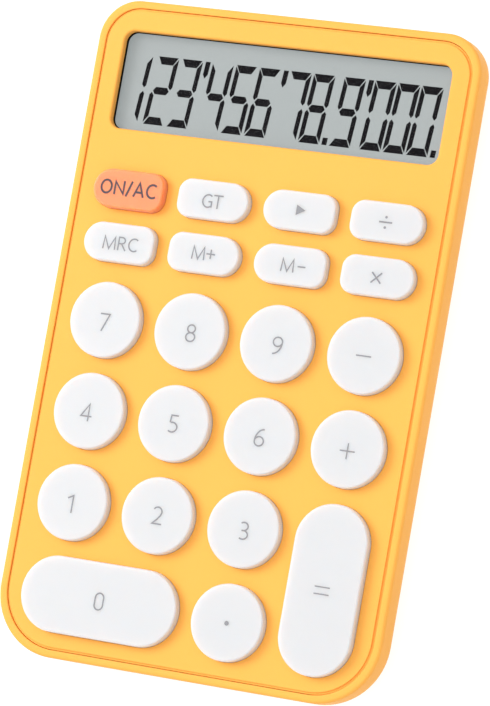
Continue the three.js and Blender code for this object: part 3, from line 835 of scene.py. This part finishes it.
def legends():
    for figure, shift in FIGURE_SHIFTS.items():
        legend(f"key_{figure}", word(figure, FIGURE_HEIGHT, *shift, 0))
    legend("key_minus", [bar(0.13, -0.12, 3.6)], width=0.3)
    legend("key_plus", [cross(0.2, -0.45, 3.55)], width=0.3)
    legend("key_equals", [bar(-0.1, 0.62, 3.6), bar(-0.1, -0.95, 3.6)], width=0.28)
    legend("key_point", polygons=[disc(0.1, -0.17, 0.52)])
    legend("key_on_clear", word("ON/AC", 3.27, 0.1, 0.19, 0.5), width=BOLD, finish="dark_ink")
    legend("key_grand_total", word("GT", LETTER_HEIGHT, 0.05, -0.31, 0.1))
    legend("key_play", polygons=[[(-0.58, -0.96), (1.59, 0.21), (-0.58, 1.37)]])
    legend("key_divide", [bar(-0.15, -0.09, 3.1)], [disc(-0.15, 1.04, 0.3), disc(-0.15, -1.26, 0.3)], 0.36)
    legend("key_memory_recall", word("MRC", LETTER_HEIGHT, 0.5, -0.16, 0.42))
    legend("key_memory_plus", word("M", LETTER_HEIGHT, -1.1, 0.14, 0) + [cross(1.9, 0.1, 2.1)])
    legend("key_memory_minus", word("M", LETTER_HEIGHT, -0.35, 0.0, 0) + [bar(3.0, -0.1, 1.9)])
    legend("key_multiply", [cross(-0.08, -0.3, 2.35, True)], width=0.34)


# ---------- underside ----------
def screw(index, x, y):
    """Pan-head screw with a tapered cross recess and a threaded shank. z runs up into the boss."""
    b = Builder()
    form = round_form(x, y, 0, 40)
    z, arm, half = SCREW_Z0, 1.15, 0.24

    def recess(grow):
        a, h = arm + grow, half + grow
        shape = [
            (a, -h), (a, h), (h, h), (h, a), (-h, a), (-h, h),
            (-a, h), (-a, -h), (-h, -h), (-h, -a), (h, -a), (h, -h),
        ]
        return [(x + px, y + py) for px, py in shape]

    mouth, deep = b.stack(recess, [(0, z + 0.03), (-0.08, z + 0.45), (-0.2, z + 0.6)])
    b.cap(deep)
    head = [
        (1.3, z + 0.03), (1.6, z + 0.12), (1.82, z + 0.32),
        (1.9, z + 0.6), (1.9, z + 1.2), (0.9, z + 1.2),
    ]
    thread = []
    for turn in range(8):
        base = z + 1.5 + 0.5 * turn
        thread += [(0.72, base), (0.9, base + 0.16), (0.9, base + 0.2), (0.72, base + 0.36)]
    low, high = b.stack(form, [*head, *thread, (0.6, z + 5.6), (0.25, z + 6.0)])
    b.fill(low, mouth)
    b.cap(high)
    b.piece(f"case_screw_{index}_detail", M["steel"], "housing", [f"case_screw_{index}"])


def foot(index, x, y):
    """Rubber foot with a rounded rim and a slightly dished face."""
    b = Builder()
    form = round_form(x, y, FOOT_RADIUS, 64)
    dish, edge = -0.75, 0.35
    low, high = b.stack(form, [
        (dish, 0.06), (-0.7, 0.0), (-edge, 0.0), *rounded(-edge, 0.0, edge, edge, 6, "face")[1:],
        (0, 1.1), (-0.1, 1.2),
    ])
    b.cap(high)
    ring_low, ring_high = b.stack(form, [(dish - 0.2, 0.06), (dish - 0.3, 0.16)])
    b.fill(low, ring_low)
    b.cap(ring_high)
    b.piece(f"foot_{index}_pad", M["rubber"], "housing", [f"foot_{index}"])


def battery_door():
    """Round door with a coin slot and two marks outside, and a ring with two bayonet tabs inside."""
    b = Builder()
    cx, cy = CELL
    z0 = DOOR_Z0
    # a fine groove outside, the rounded flange, then the disc and the ring that carries the tabs
    low, high = b.stack(round_form(cx, cy, 0, 96), [
        (11.0, z0), (11.1, z0 + 0.15), (11.5, z0 + 0.15), (11.6, z0),
        (DOOR_FLANGE - 0.25, z0), (DOOR_FLANGE - 0.08, z0 + 0.08), (DOOR_FLANGE, z0 + 0.25),
        (DOOR_FLANGE, DOOR_Z_FLANGE), (DOOR_DISC, DOOR_Z_FLANGE), (DOOR_DISC, DOOR_TOP),
        (11.3, DOOR_TOP), (11.3, DOOR_RING_TOP), (10.4, DOOR_RING_TOP), (10.4, DOOR_TOP),
    ])
    slot_form = box_form(cx - 6, cx + 6, cy - 0.9, cy + 0.9, 0.88)
    mouth, deep = b.stack(slot_form, [(0.15, z0), (0, z0 + 0.15), (0, z0 + 0.7), (-0.1, z0 + 0.8)])
    b.cap(deep)
    marks = []
    for side in (-1, 1):
        dimple = round_form(cx, cy + side * 7.6, 0.8, 32)
        rim, blind = b.stack(dimple, [(0.1, z0), (0, z0 + 0.1), (0, z0 + 0.3)])
        b.cap(blind)
        marks.append(rim)
    b.fill(low, mouth, *marks)
    b.cap(high)
    tip, root, half = 13.0, 11.2, 12
    for turn in (0, 180):
        edge = [turn - half + 2 * half * i / 8 for i in range(9)]
        tab = polar(CELL, [(tip, a) for a in edge] + [(root, a) for a in reversed(edge)])
        b.prism([tab], 2.5, DOOR_RING_TOP)
    b.piece("battery_door_detail", M["shell"], "battery_door", ["battery_door"])


# ---------- keypad mat ----------
def keypad_mat():
    """Silicone sheet on the circuit board."""
    z0, z1, edge = MAT["z0"], MAT["z1"], 0.1
    b = Builder()
    low, high = b.stack(
        lambda grow: outline(-MAT["half_x"], MAT["half_x"], MAT["y0"], MAT["y1"], MAT_CORNERS, grow),
        [*rounded(-edge, z0, edge, edge, 3, "face"), *rounded(0, z1 - edge, -edge, edge, 3)]
    )
    below, above = [low], [high]
    # the mat ends below the first two case screws
    for place, stud in [(p, BOSS) for p in CASE_SCREWS[2:]] + [(p, POST) for p in BOARD_SCREWS]:
        bottom, top = b.stack(round_form(*place, stud["room"], 32), [(0, z0), (0, z1)])
        below.append(bottom)
        above.append(top)
    b.fill(*below)
    b.fill(*above)
    b.piece("keypad_sheet", M["silicone"], "housing", ["keypad_mat"])


def key_dome(node):
    """The dome under a key, or two under a long one, with a mesh of its own."""
    z1, z_dome = MAT["z1"], MAT["z_dome"]
    x, y = key_centre(node)
    dx, dy = {"key_0": (KEY_PITCH_X / 2, 0), "key_equals": (0, KEY_PITCH_Y / 2)}.get(node, (0, 0))
    b = Builder()
    for place in sorted({(x - dx, y - dy), (x + dx, y + dy)}):
        low, high = b.stack(round_form(*place, 0, 32), [
            (3.3, z1 - 0.05), (3.4, z1 + 0.05), (2.6, z_dome - 0.6), (2.4, z_dome - 0.4),
            *rounded(2.4, z_dome - 0.15, -0.15, 0.15, 3),
        ])
        b.cap(low)
        b.cap(high)
    dome = b.piece(f"dome_{short(node)}", M["silicone"], "housing")
    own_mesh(dome)


rear_case()
face_skin()
gasket_with_shade_lip()
readout()
keypad_mat()
for key in KEYS:
    key_dome(key)
for key in KEYS:
    key_cap(key)
legends()
for number, place in enumerate(CASE_SCREWS, 1):
    screw(number, *place)
for number, place in enumerate(FEET, 1):
    foot(number, *place)
battery_door()


# ---------- floor, light and camera ----------
def floor():
    """Plain white floor; a part of its white is its own glow, so that it stays white under the object."""
    n = Nodes("studio_floor")
    sweep = n.noise(60, 3.0)
    toned = n.blend(n.span(sweep, 0, 1), (0.28, 0.28, 0.28, 1), (0.3, 0.3, 0.3, 1))
    n.finish(Base_Color=toned, Roughness=0.9, Specular_IOR_Level=0.1)
    n.finish(Emission_Color=(1, 1, 1, 1), Emission_Strength=0.83)
    bm = bmesh.new()
    bmesh.ops.create_grid(bm, x_segments=8, y_segments=8, size=4.0)
    mesh = bpy.data.meshes.new("studio_floor")
    bm.to_mesh(mesh)
    bm.free()
    mesh.materials.append(n.material)
    obj = bpy.data.objects.new("studio_floor", mesh)
    bpy.context.scene.collection.objects.link(obj)


def softbox(name, place, size, power):
    """A round white lamp that faces the object; metres and watts."""
    light = bpy.data.lights.new(name, "AREA")
    light.shape = "DISK"
    light.size = size
    light.energy = power
    obj = bpy.data.objects.new(name, light)
    bpy.context.scene.collection.objects.link(obj)
    obj.location = place
    obj.rotation_mode = "QUATERNION"
    obj.rotation_quaternion = (-Vector(place)).to_track_quat("-Z", "Y")


def sky_light(tree, horizon, zenith):
    """Light from a large ceiling: dim towards the walls of the room and bright overhead."""
    place = tree.nodes.new("ShaderNodeTexCoord")
    height = tree.nodes.new("ShaderNodeSeparateXYZ")
    lift = tree.nodes.new("ShaderNodeMath")
    lift.operation = "POWER"
    lift.inputs[1].default_value = 2.0   # keeps the brightness near the zenith
    level = tree.nodes.new("ShaderNodeMapRange")
    level.inputs["To Min"].default_value = horizon
    level.inputs["To Max"].default_value = zenith
    tree.links.new(place.outputs["Generated"], height.inputs[0])
    tree.links.new(height.outputs["Z"], lift.inputs[0])
    tree.links.new(lift.outputs[0], level.inputs["Value"])
    tree.links.new(level.outputs["Result"], tree.nodes["Background"].inputs["Strength"])
    tree.nodes["Background"].inputs["Color"].default_value = (1, 1, 1, 1)


floor()
softbox("key_light", place=(-0.96, 0.28, 0.92), size=0.8, power=11.6)

world = bpy.data.worlds.new("studio")
bpy.context.scene.world = world
world.use_nodes = True
sky_light(world.node_tree, horizon=0.52, zenith=1.58)
bpy.context.scene.view_settings.view_transform = "Standard"

camera_data = bpy.data.cameras.new("camera")
camera_data.lens = 222.8
camera_data.sensor_width = 36
camera = bpy.data.objects.new("camera", camera_data)
bpy.context.scene.collection.objects.link(camera)
camera.location = (0.39041, -0.07805, 0.89098)
camera.rotation_euler = [math.radians(v) for v in (8.8395, 22.5965, 10.8203)]
bpy.context.scene.camera = camera
